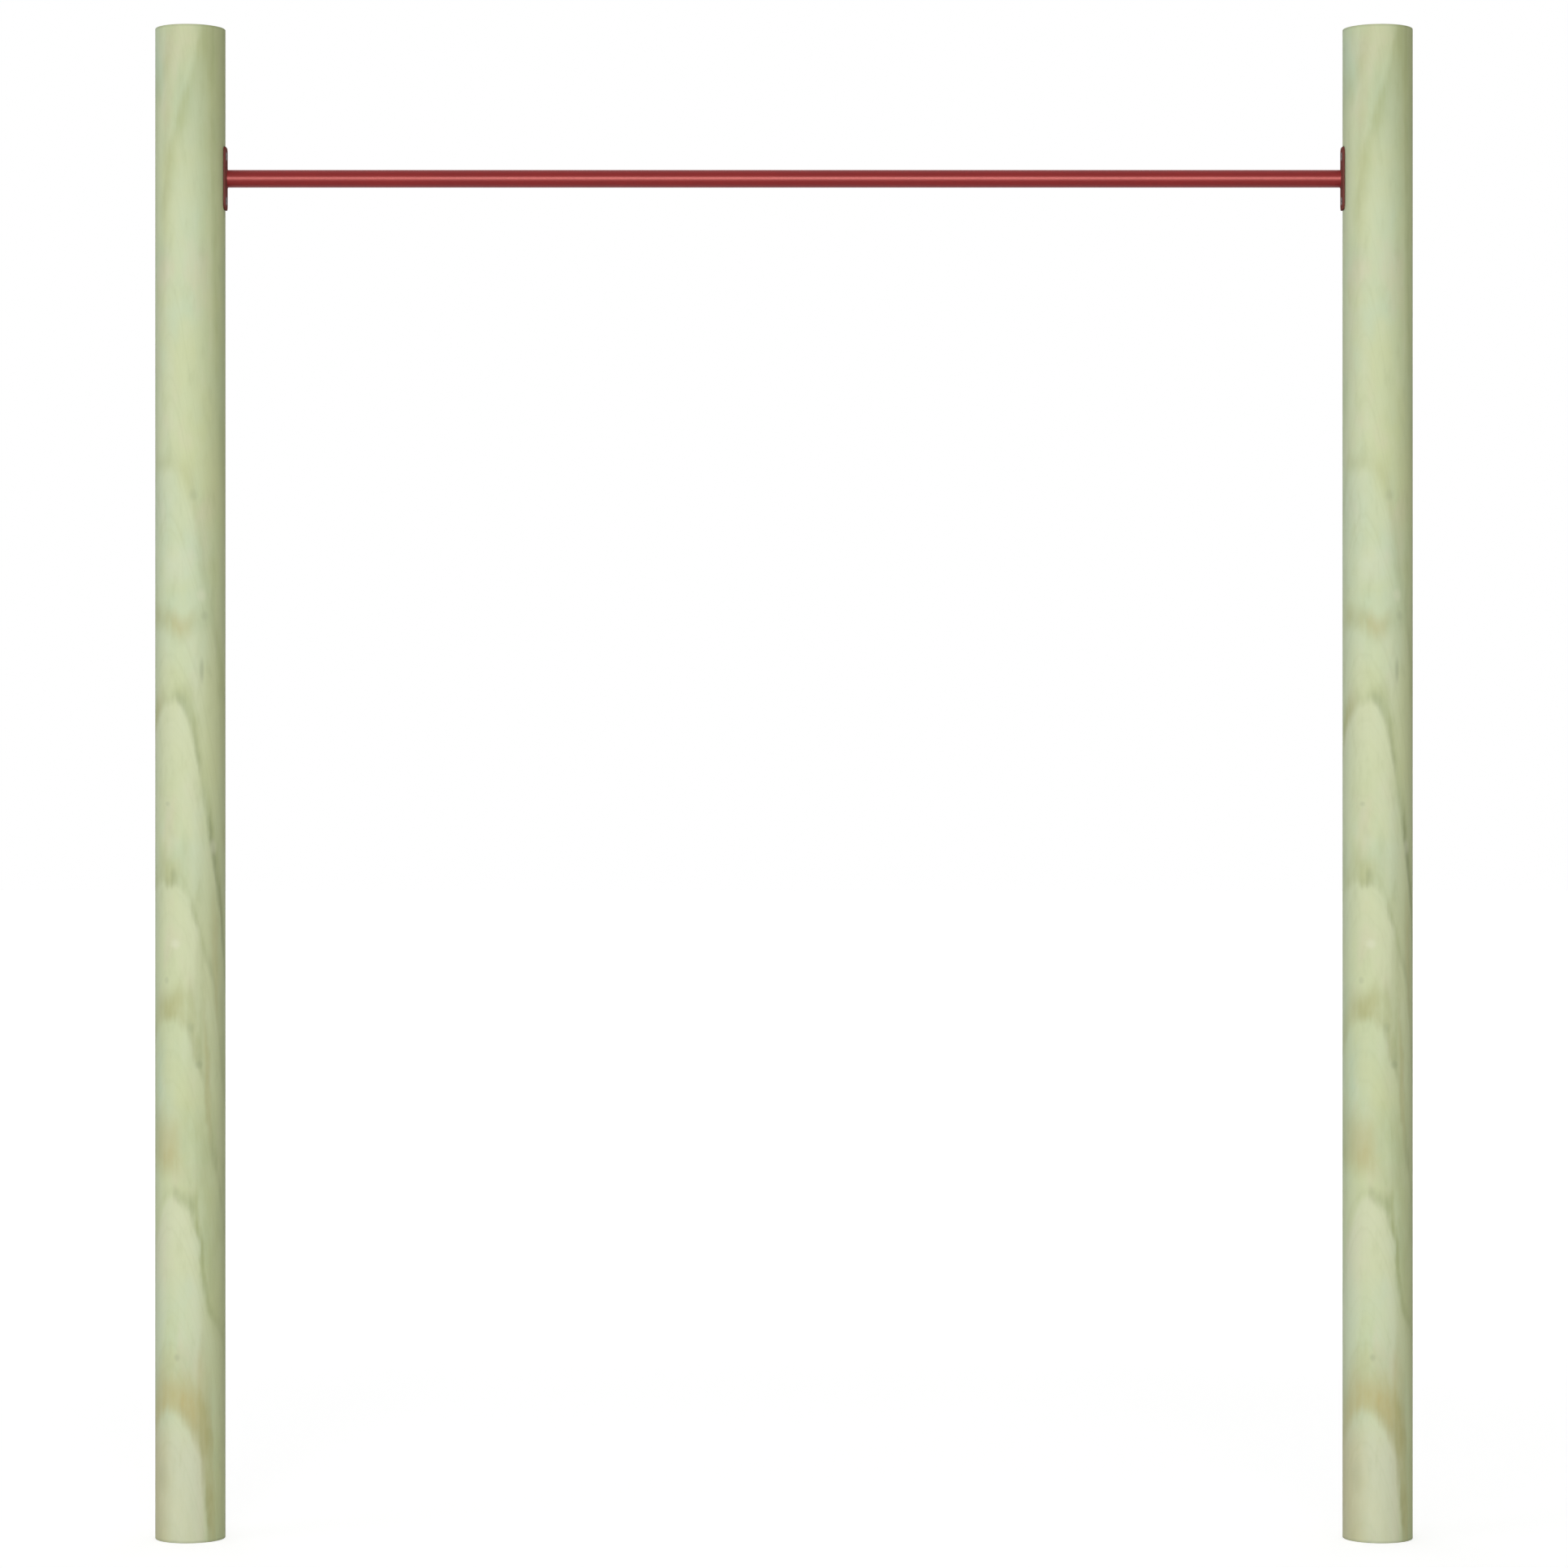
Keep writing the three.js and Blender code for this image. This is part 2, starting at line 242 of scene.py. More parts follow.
class Recipe(Board):
    """A geometry tree. Its named sizes are wires inside it and modifier inputs outside it."""

    def __init__(self, name, sizes, takes_blank=False):
        super().__init__(bpy.data.node_groups.new(name, "GeometryNodeTree"))
        openings = self.tree.interface
        openings.new_socket("Geometry", in_out="OUTPUT", socket_type="NodeSocketGeometry")
        if takes_blank:
            openings.new_socket("Blank", in_out="INPUT", socket_type="NodeSocketGeometry")
        self.keys = {}  # the identifiers by which a modifier knows the sizes
        for size, value in sizes.items():
            socket = openings.new_socket(size, in_out="INPUT", socket_type="NodeSocketFloat")
            socket.default_value = value
            self.keys[size] = socket.identifier
        self.entry = self.tree.nodes.new("NodeGroupInput")
        self.blank = Wire(self, self.entry.outputs[0])

    def __getitem__(self, size):
        return Wire(self, self.entry.outputs[size])

    def place_of_points(self):
        return self.parts(self.add("GeometryNodeInputPosition"))

    def moved(self, geometry, x, y, z):
        place = {"Geometry": geometry, "Position": self.vector(x, y, z)}
        return self.add("GeometryNodeSetPosition", {}, place)

    def sheet(self, across, along):
        """A grid of points and the share, 0 to 1, of its way across and along at each."""
        size = {"Size X": 1, "Size Y": 1, "Vertices X": across, "Vertices Y": along}
        grid = self.add("GeometryNodeMeshGrid", {}, size)
        x, y, _ = self.place_of_points()
        return grid, x + 0.5, y + 0.5

    def pick(self, row, values):
        """The value of that row."""
        sockets = {"Index": self.maths("ROUND", row)}
        sockets.update({str(index): value for index, value in enumerate(values)})
        settings = {"data_type": "FLOAT", "items": len(values)}
        return self.add("GeometryNodeIndexSwitch", settings, sockets)

    def turned(self, outline, sides):
        """A shape turned about Z from (radius, height) points that run up its outside."""
        grid, around, along = self.sheet(sides + 1, len(outline))
        angle = around * 2 * pi
        row = along * (len(outline) - 1)
        radius = self.pick(row, [point[0] for point in outline])
        height = self.pick(row, [point[1] for point in outline])
        x = radius * self.maths("COSINE", angle)
        y = radius * self.maths("SINE", angle)
        return self.welded(self.moved(grid, x, y, height))

    def welded(self, geometry):
        sockets = {"Geometry": geometry, "Distance": MERGE_DISTANCE}
        return self.add("GeometryNodeMergeByDistance", {}, sockets)

    def shifted(self, geometry, shift=(0, 0, 0), turn=(0, 0, 0)):
        sockets = {"Geometry": geometry, "Translation": shift, "Rotation": turn}
        return self.add("GeometryNodeTransform", {}, sockets)

    def cut(self, body, *cutters, operation="DIFFERENCE"):
        first = {"Mesh 1": body} if operation == "DIFFERENCE" else {}
        second = list(cutters) if operation == "DIFFERENCE" else [body, *cutters]
        settings = {"operation": operation, "solver": "EXACT"}
        return self.add("GeometryNodeMeshBoolean", settings, {**first, "Mesh 2": second})

    def finish(self, geometry, material, end_material=None):
        """Stands the shape at its post, then realizes it and gives it its finish."""
        if "Post Side" in self.keys:
            right_hand = self["Post Side"] > 0
            geometry = self.shifted(geometry, turn=self.vector(0, 0, right_hand * pi))
            shift = self.vector(self["Post Side"] * POST_OFFSET, 0, 0)
            geometry = self.shifted(geometry, shift=shift)
        shape = self.add("GeometryNodeRealizeInstances", {}, {"Geometry": geometry})
        sockets = {"Geometry": shape, "Material": material}
        shape = self.add("GeometryNodeSetMaterial", {}, sockets)
        if end_material:
            level = self.parts(self.add("GeometryNodeInputNormal"))[2]
            flat = self.maths("ABSOLUTE", level) > FLAT_END
            ends = {"Geometry": shape, "Material": end_material, "Selection": flat}
            shape = self.add("GeometryNodeSetMaterial", {}, ends)
        self.add("NodeGroupOutput", {}, {"Geometry": shape})
        return self


def placed(name, data):
    """A new object in the scene, at the origin."""
    thing = bpy.data.objects.new(name, data)
    bpy.context.scene.collection.objects.link(thing)
    return thing


def formed(name, recipe, sizes, blank=None, walls=0):
    """Runs a recipe on a blank and keeps the result as a plain mesh at the origin."""
    piece = placed(name, blank or bpy.data.meshes.new(name))
    shaping = piece.modifiers.new("shaping", "NODES")
    shaping.node_group = recipe.tree
    for size, value in sizes.items():
        shaping[recipe.keys[size]] = float(value)
    if walls:
        wall = piece.modifiers.new("wall", "SOLIDIFY")
        wall.thickness = walls
        wall.offset = -1
        wall.use_even_offset = True
    graph = bpy.context.evaluated_depsgraph_get()
    mesh = bpy.data.meshes.new_from_object(piece.evaluated_get(graph), depsgraph=graph)
    piece.modifiers.clear()
    piece.data = mesh
    mesh.name = name
    mesh.shade_smooth()
    mesh.set_sharp_from_angle(angle=SHARP_ANGLE)
    return piece


def settle(piece, slot, *nodes):
    """Hangs the piece on the root body, keeping its place, and hides those nodes."""
    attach(piece, "root")
    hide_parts(*nodes)


# Treated pine

# The grown arches of late wood in the posts, from the top down. run is a row of places along an
# arch: bearing, height of its lower edge, and the strengths there of its dark line, brown stain
# and olive stain. fade is how far the stains reach up from the edge, soft how gently they start
# there, and pale is the strength of the early wood below it. Each run ends at the post's back as
# it begins.
ARCHES = [
    dict(fade=0.050, soft=0.018, pale=0.2, run=[
        (-180, 1.594, 0, 0, 0), (-100, 1.929, 0, 0, 0.15), (-75, 2.03, 0, 0, 0.26),
        (-60, 2.053, 0, 0, 0.3), (-35, 2.088, 0, 0, 0.3), (-20, 2.127, 0, 0, 0.26),
        (0, 2.182, 0, 0, 0.15), (40, 2.263, 0, 0, 0), (80, 2.182, 0, 0, 0), (180, 1.594, 0, 0, 0),
    ]),
    dict(fade=0.080, soft=0.022, pale=0.3, run=[
        (-180, 1.317, 0, 0, 0.08), (-70, 1.594, 0, 0, 0.08), (-45, 1.732, 0, 0, 0.15),
        (-38, 1.813, 0, 0.08, 0.22), (-30, 1.882, 0, 0.08, 0.22), (-20, 1.946, 0, 0, 0.26),
        (-8, 1.992, 0, 0, 0.28), (2, 2.027, 0, 0, 0.2), (12, 2.067, 0, 0, 0.15),
        (22, 2.096, 0, 0.08, 0.15), (40, 2.107, 0, 0.08, 0.15), (43, 1.917, 0, 0.08, 0.15),
        (48, 1.732, 0, 0, 0.22), (56, 1.594, 0, 0, 0.22), (90, 1.444, 0, 0, 0.15),
        (180, 1.317, 0, 0, 0.08),
    ]),
    dict(fade=0.032, soft=0.012, pale=0.3, run=[
        (-180, 1.063, 0, 0, 0.15), (-90, 1.409, 0, 0, 0.15), (-65, 1.511, 0, 0, 0.2),
        (-50, 1.525, 0, 0.05, 0.22), (-25, 1.529, 0, 0.04, 0.18), (-8, 1.511, 0, 0.1, 0.18),
        (3, 1.494, 0, 0.12, 0.24), (10, 1.471, 0, 0.12, 0.24), (17, 1.432, 0, 0.07, 0.24),
        (26, 1.386, 0, 0.05, 0.24), (40, 1.317, 0, 0, 0.15), (60, 1.248, 0, 0, 0.1),
        (90, 1.179, 0, 0, 0.1), (180, 1.063, 0, 0, 0.15),
    ]),
    dict(fade=0.040, soft=0.014, pale=0.3, run=[
        (-180, 0.925, 0, 0, 0), (-85, 1.287, 0, 0.12, 0.15), (-70, 1.303, 0, 0.18, 0.26),
        (-50, 1.306, 0.05, 0.2, 0.3), (-30, 1.3, 0, 0.3, 0.26), (-12, 1.291, 0.03, 0.5, 0.2),
        (0, 1.289, 0.03, 0.36, 0.3), (15, 1.296, 0.1, 0.1, 0.46), (30, 1.301, 0.17, 0, 0.46),
        (42, 1.306, 0.24, 0, 0.36), (52, 1.271, 0.07, 0, 0.2), (70, 1.179, 0, 0, 0.15),
        (100, 1.052, 0, 0, 0.08), (180, 0.925, 0, 0, 0),
    ]),
    dict(fade=0.034, soft=0.008, pale=0.6, run=[
        (-180, 0.556, 0, 0, 0.15), (-95, 1.075, 0, 0, 0.22), (-80, 1.138, 0, 0, 0.49),
        (-65, 1.167, 0, 0.16, 0.52), (-50, 1.186, 0.07, 0.2, 0.38),
        (-38, 1.196, 0.21, 0.08, 0.22), (-20, 1.197, 0.32, 0, 0.3), (-5, 1.188, 0.56, 0, 0.41),
        (3, 1.172, 0.42, 0, 0.45), (10, 1.147, 0.38, 0, 0.52), (18, 1.109, 0.88, 0, 0.56),
        (25, 1.075, 0.62, 0, 0.52), (31, 1.044, 0.7, 0, 0.47), (37, 1.017, 0.64, 0, 0.56),
        (43, 0.983, 1.1, 0, 0.67), (50, 0.957, 1.09, 0, 0.62), (56, 0.932, 0.48, 0, 0.53),
        (63, 0.899, 0.48, 0, 0.53), (75, 0.833, 0.31, 0, 0.41), (100, 0.74, 0.17, 0, 0.3),
        (180, 0.556, 0, 0, 0.15),
    ]),
    dict(fade=0.060, soft=0.008, pale=0.5, run=[
        (-180, 0.463, 0, 0, 0.15), (-95, 0.867, 0, 0, 0.15), (-75, 0.927, 0, 0, 0.22),
        (-60, 0.934, 0.08, 0.08, 0.38), (-45, 0.943, 0.2, 0.12, 0.41),
        (-32, 0.936, 0.25, 0.12, 0.41), (-20, 0.94, 0.5, 0.08, 0.41), (-8, 0.935, 0.42, 0, 0.45),
        (0, 0.92, 0.38, 0, 0.49), (8, 0.899, 0.5, 0.04, 0.52), (15, 0.883, 0.56, 0, 0.52),
        (22, 0.863, 0.5, 0, 0.49), (28, 0.842, 0.2, 0, 0.26), (36, 0.821, 0.24, 0, 0.22),
        (45, 0.799, 0.6, 0.08, 0.3), (52, 0.766, 0.14, 0.32, 0.22), (62, 0.706, 0.1, 0.08, 0.22),
        (80, 0.625, 0.1, 0, 0.15), (180, 0.463, 0, 0, 0.15),
    ]),
    dict(fade=0.056, soft=0.009, pale=0, run=[
        (-180, 0.186, 0, 0, 0.15), (-95, 0.648, 0, 0, 0.15), (-75, 0.706, 0, 0.04, 0.26),
        (-60, 0.732, 0, 0.18, 0.41), (-40, 0.744, 0.03, 0.31, 0.56),
        (-20, 0.745, 0.07, 0.31, 0.56), (-5, 0.733, 0.21, 0.18, 0.49),
        (6, 0.718, 0.35, 0.09, 0.49), (14, 0.692, 0.24, 0.09, 0.38), (24, 0.67, 0.52, 0.04, 0.34),
        (30, 0.634, 0.21, 0.18, 0.26), (36, 0.59, 0.21, 0.35, 0.26),
        (42, 0.563, 0.24, 0.18, 0.26), (50, 0.533, 0.32, 0, 0.3), (60, 0.505, 0.24, 0, 0.26),
        (72, 0.458, 0.14, 0, 0.22), (95, 0.371, 0.07, 0, 0.15), (180, 0.186, 0, 0, 0.15),
    ]),
    dict(fade=0.105, soft=0.022, pale=0, run=[
        (-180, 0.302, 0, 0, 0), (-95, 0.521, 0, 0.05, 0.22), (-78, 0.535, 0, 0.16, 0.5),
        (-62, 0.535, 0, 0.34, 0.3), (-44, 0.533, 0, 0.58, 0.2), (-30, 0.532, 0, 0.72, 0.12),
        (-20, 0.53, 0, 0.58, 0.1), (-10, 0.525, 0, 0.25, 0.08), (0, 0.515, 0, 0.05, 0.08),
        (12, 0.49, 0, 0, 0), (60, 0.394, 0, 0, 0), (180, 0.302, 0, 0, 0),
    ]),
    dict(fade=0.260, soft=0.030, pale=0, run=[
        (-180, -0.056, 0, 0, 0), (-60, 0.394, 0, 0, 0), (-20, 0.488, 0, 0, 0.06),
        (0, 0.48, 0, 0, 0.18), (17, 0.45, 0, 0, 0.27), (26, 0.375, 0, 0, 0.3),
        (40, 0.323, 0, 0, 0.3), (65, 0.29, 0, 0, 0.24), (90, 0.21, 0, 0, 0.12),
        (180, -0.056, 0, 0, 0),
    ]),
    dict(fade=0.024, soft=0.007, pale=0.9, run=[
        (-180, -0.056, 0, 0, 0.15), (-90, 0.325, 0, 0, 0.15), (-50, 0.463, 0, 0, 0.08),
        (-30, 0.490, 0, 0, 0.08), (-20, 0.490, 0.35, 0, 0.22), (-10, 0.485, 0.55, 0, 0.3),
        (0, 0.478, 0.55, 0, 0.36), (9, 0.466, 0.5, 0, 0.42), (15, 0.452, 0.3, 0, 0.48),
        (21, 0.418, 0.12, 0, 0.48), (26, 0.378, 0.12, 0, 0.48), (32, 0.346, 0.18, 0, 0.42),
        (40, 0.325, 0.2, 0, 0.38), (55, 0.306, 0.2, 0, 0.32), (65, 0.293, 0.14, 0, 0.27),
        (75, 0.27, 0.13, 0, 0.21), (95, 0.198, 0.06, 0, 0.15), (180, -0.056, 0, 0, 0.15),
    ]),
    dict(fade=0.062, soft=0.024, pale=0, run=[
        (-180, -0.4, 0, 0, 0), (-80, 0.19, 0, 0.1, 0.1), (-45, 0.222, 0, 0.22, 0.1),
        (-18, 0.230, 0, 0.27, 0.12), (0, 0.220, 0, 0.26, 0.12), (15, 0.198, 0, 0.2, 0.16),
        (30, 0.150, 0, 0.15, 0.2), (50, 0.02, 0, 0.1, 0.15), (180, -0.4, 0, 0, 0),
    ]),
    dict(fade=0.062, soft=0.013, pale=0.45, run=[
        (-180, -0.517, 0, 0, 0.09), (-90, 0.116, 0, 0.25, 0.18), (-72, 0.150, 0, 0.42, 0.18),
        (-60, 0.166, 0, 0.6, 0.18), (-46, 0.180, 0, 0.7, 0.18), (-30, 0.187, 0, 0.85, 0.22),
        (-17, 0.186, 0.16, 1.0, 0.26), (-5, 0.177, 0.28, 1.05, 0.3), (5, 0.167, 0.28, 0.95, 0.34),
        (13, 0.155, 0.22, 0.8, 0.42), (20, 0.144, 0.2, 0.6, 0.5), (24, 0.127, 0.2, 0.52, 0.56),
        (28, 0.095, 0.24, 0.48, 0.64), (33, 0.056, 0.28, 0.45, 0.66),
        (38, 0.012, 0.28, 0.42, 0.62), (44, -0.050, 0.24, 0.38, 0.55),
        (52, -0.150, 0.18, 0.34, 0.45), (180, -0.517, 0, 0, 0.09),
    ]),
]
ARCH_DEPTH = 0.75  # how far a run's curve reaches up from its lowest place, and no further
TOP_STRENGTH = 1.2  # more than any strength in a run
SLOPE_STEP = 6  # degrees to either side of a point, for the slope of the edge there
STEEP_WIDENING = 0.31  # 0 keeps a stain's reach along the post, 0.5 its reach across the edge
LINE_WEIGHT = 0.75
LINE_RISE = 5 * MM  # from the edge up to the middle of the dark line
LINE_REACH = 14 * MM
PALE_REACH = 200 * MM

# Small spots in the grain: where each is, its half width and half length in millimetres, and how
# dark it is, or how pale where that is below zero
SPOTS = [
    dict(bearing=26, height=1.241, across=4, along=19, dark=0.5),
    dict(bearing=12, height=1.490, across=7, along=9, dark=0.25),
    dict(bearing=31, height=1.319, across=6, along=8, dark=0.3),
    dict(bearing=-45, height=0.094, across=13, along=30, dark=0.2),
    dict(bearing=-21, height=0.953, across=6, along=8, dark=0.35),
    dict(bearing=-33, height=1.051, across=5, along=4, dark=0.3),
    dict(bearing=9, height=0.733, across=6, along=8, dark=0.3),
    dict(bearing=21, height=0.680, across=6, along=7, dark=0.4),
    dict(bearing=-15, height=0.264, across=5, along=6, dark=0.4),
    dict(bearing=-35, height=0.800, across=5, along=6, dark=0.3),
    dict(bearing=26, height=1.348, across=8, along=10, dark=-0.5),
    dict(bearing=-18, height=0.852, across=9, along=8, dark=-0.6),
    dict(bearing=48, height=0.990, across=8, along=12, dark=-0.4),
    dict(bearing=-18, height=1.392, across=26, along=34, dark=-0.4),
]

PINE = (0.590, 0.645, 0.395, 1)
PINE_COOL = (0.545, 0.650, 0.460, 1)
PINE_PINK = (0.655, 0.605, 0.445, 1)
PINE_YELLOW = (0.585, 0.630, 0.325, 1)
OLIVE_STAIN = (0.390, 0.435, 0.210, 1)
BROWN_STAIN = (0.500, 0.425, 0.190, 1)
DARK_LINE = (0.270, 0.310, 0.180, 1)
PALE_WOOD = (0.690, 0.715, 0.530, 1)

SAWN_PINE = (0.50, 0.55, 0.33, 1)
HEART_WOOD = (0.56, 0.46, 0.26, 1)
LATE_WOOD = (0.30, 0.29, 0.14, 1)
PALE_RAY = (0.62, 0.64, 0.44, 1)
DAMP_PORE = (0.33, 0.36, 0.2, 1)
# Near black for the painted shade down inside the drying checks
CHECK_SHADE = (0.07, 0.06, 0.04, 1)

WOOD_GLOSS = 0.2
LEAN_HEIGHT = 2.08  # where the leaning grain near the top crosses the front
LEAN_TURN = 5.5  # how far round it runs for each metre up, in radians
END_BAND_DEPTH = 5 * MM  # how far in from each sawn end the wood is darkened
PITH_ACROSS, PITH_BACK = 9 * MM, -6 * MM
RING_WIDTH = 4.6 * MM
SAW_MARKS = 2600  # radians in each metre


def post_place(board):
    """Where a point lies from its own post's axis, and its bearing in radians."""
    x, y, z = board.parts(board.place())
    across = x - board.maths("SIGN", x) * POST_OFFSET
    return across, y, z, board.maths("ARCTAN2", across, -y)


def steadied(wander):
    """A wander that breaks a stain up less."""
    return wander * 0.4 + 0.6


def arch_shares(board, height, bearing, warp, wander):
    """Shares of dark line, brown stain, olive stain and pale early wood from all the arches."""
    line, brown, olive, pale = 0, 0, 0, 0
    turn = board.maths("FRACT", bearing / (2 * pi) + 0.5)

    def edge_at(edges, step=0):
        """Height of an edge that many degrees on, as a share of ARCH_DEPTH."""
        aside = board.maths("FRACT", turn + (1 + step / 360))
        return board.add("ShaderNodeFloatCurve", {"curves": [edges]}, {"Value": aside})

    for arch in ARCHES:
        run = [(place[0] / 360 + 0.5, *place[1:]) for place in arch["run"]]
        foot = min(place[1] for place in run)
        edges = [(place[0], (place[1] - foot) / ARCH_DEPTH) for place in run]
        climb = edge_at(edges, SLOPE_STEP) - edge_at(edges, -SLOPE_STEP)
        slope = climb * (ARCH_DEPTH / radians(2 * SLOPE_STEP) / POST_RADIUS)
        off = height + warp - foot - edge_at(edges) * ARCH_DEPTH
        off = off / (slope * slope + 1) ** STEEP_WIDENING
        edge = board.rise(off, -arch["soft"], arch["soft"])
        tail = board.rise(off, arch["fade"], arch["fade"] * 0.3)
        strengths = [[(place[0], place[k] / TOP_STRENGTH) for place in run] for k in (2, 3, 4)]
        strengths = board.add("ShaderNodeRGBCurve", {"curves": strengths}, {"Color": turn})
        dark_here, brown_here, olive_here = board.channels(strengths)
        thread = board.rise(board.maths("ABSOLUTE", off - LINE_RISE), LINE_REACH, 1 * MM)
        line = line + thread * wander * dark_here * LINE_WEIGHT
        brown = brown + edge * tail * steadied(wander) * brown_here
        olive = olive + edge * tail * wander * olive_here * TOP_STRENGTH
        if arch["pale"]:
            under = board.rise(off, -PALE_REACH, -PALE_REACH / 10) * (1 - edge)
            pale = pale + under * arch["pale"]
    return line, brown, olive, pale


def spot_shares(board, across, y, z):
    """Shares of the small dark and pale spots."""
    dark, pale = 0, 0
    for spot in SPOTS:
        turn = radians(spot["bearing"])
        squeeze = spot["across"] / spot["along"]
        centre = (POST_RADIUS * sin(turn), -POST_RADIUS * cos(turn), spot["height"] * squeeze)
        here = board.vector(across, y, z * squeeze)
        ends = {0: here, 1: centre}
        away = board.add("ShaderNodeVectorMath", {"operation": "DISTANCE"}, ends, out="Value")
        share = board.rise(away, spot["across"] * MM * 1.3, spot["across"] * MM * 0.2)
        if spot["dark"] > 0:
            dark = dark + share * spot["dark"]
        else:
            pale = pale - share * spot["dark"]
    return dark, pale


def new_material(name):
    material = bpy.data.materials.new(name)
    material.use_nodes = True
    return material, Board(material.node_tree)


def output(board, surface):
    board.add("ShaderNodeOutputMaterial", {}, {"Surface": surface})


def coated(board, sockets):
    output(board, board.add("ShaderNodeBsdfPrincipled", {}, sockets))


def pine_face():
    """Turned and pressure-treated pine: arched growth rings, fibre and pale green salts."""
    material, board = new_material("treated_pine_face")
    across, y, z, bearing = post_place(board)

    def grain(width, length, shift=0.0, detail=2.0, roughness=0.5):
        """Noise whose blotches are that wide round the post and that long up it, in metres."""
        point = board.vector(across / width + shift, y / width, z / length + shift)
        return board.noise(point, detail, roughness)

    # Fibre and strands run up the post, and fray the edges of the arches
    fibre = grain(0.0014, 0.060, detail=3, roughness=0.6)
    strands = grain(0.005, 0.170, 9)
    locks = grain(0.011, 0.110, 5, detail=3)
    drift = grain(0.070, 0.200)
    warp = drift * 0.007 + locks * 0.005 + strands * 0.003 + fibre * 0.001
    patch = grain(0.030, 0.075, 3, detail=3)
    wander = (board.rise(patch, -0.45, 0.35) * 0.9 + 0.3) * (1 + strands * 0.5 + fibre * 0.3)
    wobble = grain(0.016, 0.040, 15, detail=3) * 0.10 + strands * 0.03
    line, brown, olive, pale = arch_shares(board, z, bearing + wobble, warp, wander)
    dark_spots, pale_spots = spot_shares(board, across, y, z)

    # Olive grain that leans to the right near the top, and fades out before the back
    lean = bearing + wobble - (z + warp - LEAN_HEIGHT) * LEAN_TURN
    leaning = board.rise(lean, -0.06, 0.16) * board.rise(bearing, radians(170), radians(100))
    olive = olive + leaning * board.rise(z, 1.84, 2.09) * steadied(wander) * 0.42

    # Fine rings that follow the arches, steeper near the top
    upper = board.rise(z, 1.25, 1.75)
    swell = (1 - board.maths("COSINE", bearing + radians(30))) * (upper * 0.5 + 0.25)
    field = {"W": z + swell + warp * 1.4, "Scale": 55, "Detail": 3}
    fine = board.add("ShaderNodeTexNoise", {"noise_dimensions": "1D"}, field) * 2 - 1

    # Soft blotches of the preservative, and short pores
    pores = board.rise(grain(0.0024, 0.038, 4, detail=1), 0.42, 0.7)
    blotch = grain(0.080, 0.150, 11, detail=3)
    tone = grain(0.040, 0.075, 6, detail=3)
    warmth = grain(0.050, 0.110, 2, detail=3)
    stroke = grain(0.013, 0.050, 13, detail=3)

    # Ground colour with warmer feet, and painted light across each post
    colour = board.blend(PINE, PINE_COOL, board.rise(blotch, -0.3, 0.5))
    colour = board.blend(colour, PINE_PINK, board.rise(warmth, 0.0, 0.6) * 0.6)
    colour = board.blend(colour, PINE_YELLOW, board.rise(tone, -0.1, 0.6) * 0.4)
    colour = board.blend(colour, PALE_WOOD, board.maths("MINIMUM", pale, 1) * 0.45)
    side = board.maths("SINE", bearing)
    # Painted light: cooler where light from the left falls, yellower on the shaded right side
    colour = board.blend(colour, PINE_YELLOW, board.rise(side, 0.25, 0.85) * 0.55)
    colour = board.blend(colour, PINE_COOL, board.rise(side, -0.6, -1) * 0.3)
    foot = board.rise(z, 0.20, 0.12)
    colour = board.blend(colour, PINE_PINK, foot * board.rise(side, 0.64, 0.42) * 0.4)
    colour = board.blend(colour, BROWN_STAIN, foot * board.rise(side, -0.25, -0.85) * 0.3)

    # Grain, the arches over it, then painted shade in low fibre and pores, painted light on raised
    # fibre
    colour = board.blend(colour, PALE_WOOD, board.rise(stroke, 0.0, 0.8) * 0.3)
    colour = board.blend(colour, OLIVE_STAIN, board.rise(stroke, 0.0, -0.8) * 0.3)
    colour = board.blend(colour, OLIVE_STAIN, board.rise(fine, -0.1, 0.7) * 0.1)
    colour = board.blend(colour, OLIVE_STAIN, board.maths("MINIMUM", olive, 0.9))
    colour = board.blend(colour, BROWN_STAIN, board.maths("MINIMUM", brown, 0.9))
    colour = board.blend(colour, DARK_LINE, board.maths("MINIMUM", line + dark_spots, 0.8) * 0.75)
    colour = board.blend(colour, PALE_WOOD, pale_spots)
    # Painted shade where the fibre and pores sink, painted light where the fibre stands up
    relief_light_and_shade = fibre * 0.05 + strands * 0.04 - pores * 0.10
    colour = board.blend(colour, OLIVE_STAIN, board.maths("MAXIMUM", 0 - relief_light_and_shade, 0))
    colour = board.blend(colour, PALE_WOOD, board.maths("MAXIMUM", relief_light_and_shade, 0))
    # Darker towards both sawn ends
    end_band = board.rise(z, END_BAND_DEPTH, 0) + board.rise(z, POST_LENGTH - END_BAND_DEPTH, POST_LENGTH)
    colour = board.blend(colour, DARK_LINE, end_band * 0.4)

    height = fibre * 0.35 + strands * 0.35 + fine * 0.25 - pores * 0.5
    sockets = {
        "Base Color": colour,
        "Roughness": 0.78 + fibre * 0.06,
        "Normal": board.bump(height, strength=0.5, distance=0.15 * MM),
        "Specular IOR Level": WOOD_GLOSS,
    }
    coated(board, sockets)
    return material


